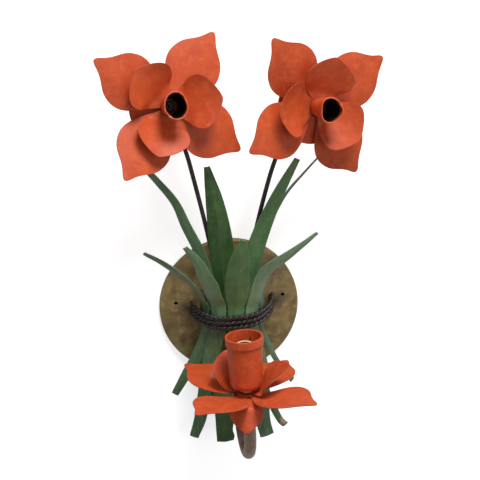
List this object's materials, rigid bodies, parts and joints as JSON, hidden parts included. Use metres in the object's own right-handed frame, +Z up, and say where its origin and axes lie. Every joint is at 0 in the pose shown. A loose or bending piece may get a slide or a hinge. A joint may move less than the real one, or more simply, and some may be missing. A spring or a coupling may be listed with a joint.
{
  "type": "wall sconce",
  "caption": "Wall sconce of painted sheet metal: two trumpet flowers on stems and one holding a candelabra lamp cup, with strap leaves tied by twisted wire to a round wall plate.",
  "frame": {"origin": "centre of the wall plate's back, on the wall plane", "axes": "+Z up, +X to the right as seen from the room, the wall is y = 0 and the sconce stands out towards -Y"},
  "size_m": [0.3186, 0.1912, 0.4974],
  "materials": {
    "petal_paint": "worn matt coral red enamel",
    "corona_paint": "matt dark brown paint",
    "leaf_paint": "streaky matt green paint",
    "stem_paint": "matt dark brown paint",
    "plate_paint": "mottled olive gold patina",
    "arm_paint": "satin taupe paint",
    "dark_paint": "matt dark brown paint",
    "tie_wire": "dark twisted wire",
    "plated_steel": "zinc plated",
    "porcelain": "glazed ceramic",
    "brass_contact": "plain brass",
    "lead_sleeve_dark": "sleeving",
    "lead_sleeve_pale": "sleeving"
  },
  "bodies": {
    "sconce": {"wall_plate": "plate_paint", "arm_tube": "arm_paint", "arm_collar": "arm_paint", "arm_stud": "plated_steel", "lamp_nipple": "plated_steel", "arm_nut": "plated_steel", "nipple_nuts": "plated_steel", "stud_nuts": "dark_paint", "left_petal_upper_left": "petal_paint", "left_petal_upper_right": "petal_paint", "left_petal_lower_right": "petal_paint", "left_petal_lower_left": "petal_paint", "left_inner_petal_upper": "petal_paint", "left_inner_petal_right": "petal_paint", "left_inner_petal_lower": "petal_paint", "right_petal_upper_left": "petal_paint", "right_petal_upper_right": "petal_paint", "right_petal_lower_right": "petal_paint", "right_petal_lower_left": "petal_paint", "right_inner_petal_upper": "petal_paint", "right_inner_petal_left": "petal_paint", "right_inner_petal_lower_right": "petal_paint", "lamp_petal_back_left": "petal_paint", "lamp_petal_back_right": "petal_paint", "lamp_petal_front_left": "petal_paint", "lamp_petal_front_right": "petal_paint", "lamp_inner_petal_back": "petal_paint", "lamp_inner_petal_right": "petal_paint", "lamp_inner_petal_front": "petal_paint", "left_calyx": "petal_paint", "right_calyx": "petal_paint", "lamp_disc": "petal_paint", "left_spacer": "dark_paint", "right_spacer": "dark_paint", "lamp_spacer": "petal_paint", "left_corona": "corona_paint", "left_stud": "dark_paint", "left_stem": "stem_paint", "right_corona": "corona_paint", "right_stud": "dark_paint", "right_stem": "stem_paint", "lamp_cup": "petal_paint", "socket_body": "porcelain", "screw_shell": "brass_contact", "lead_live": "lead_sleeve_dark", "lead_neutral": "lead_sleeve_pale", "leaf_1": "leaf_paint", "leaf_2": "leaf_paint", "leaf_3": "leaf_paint", "leaf_4": "leaf_paint", "leaf_5": "leaf_paint", "leaf_6": "leaf_paint", "leaf_7": "leaf_paint", "leaf_8": "leaf_paint", "leaf_band": "leaf_paint", "tie_upper": "tie_wire", "tie_middle": "tie_wire", "tie_lower": "tie_wire"},
    "contact": {"centre_contact": "brass_contact"}
  },
  "joints": [
    {"name": "contact_press", "type": "slide", "parent": "sconce", "child": "contact", "axis": [-0.0593, -0.0018, 0.9982], "range_m": [-0.0012, 0], "stiffness_N_per_m": 400}
  ]
}
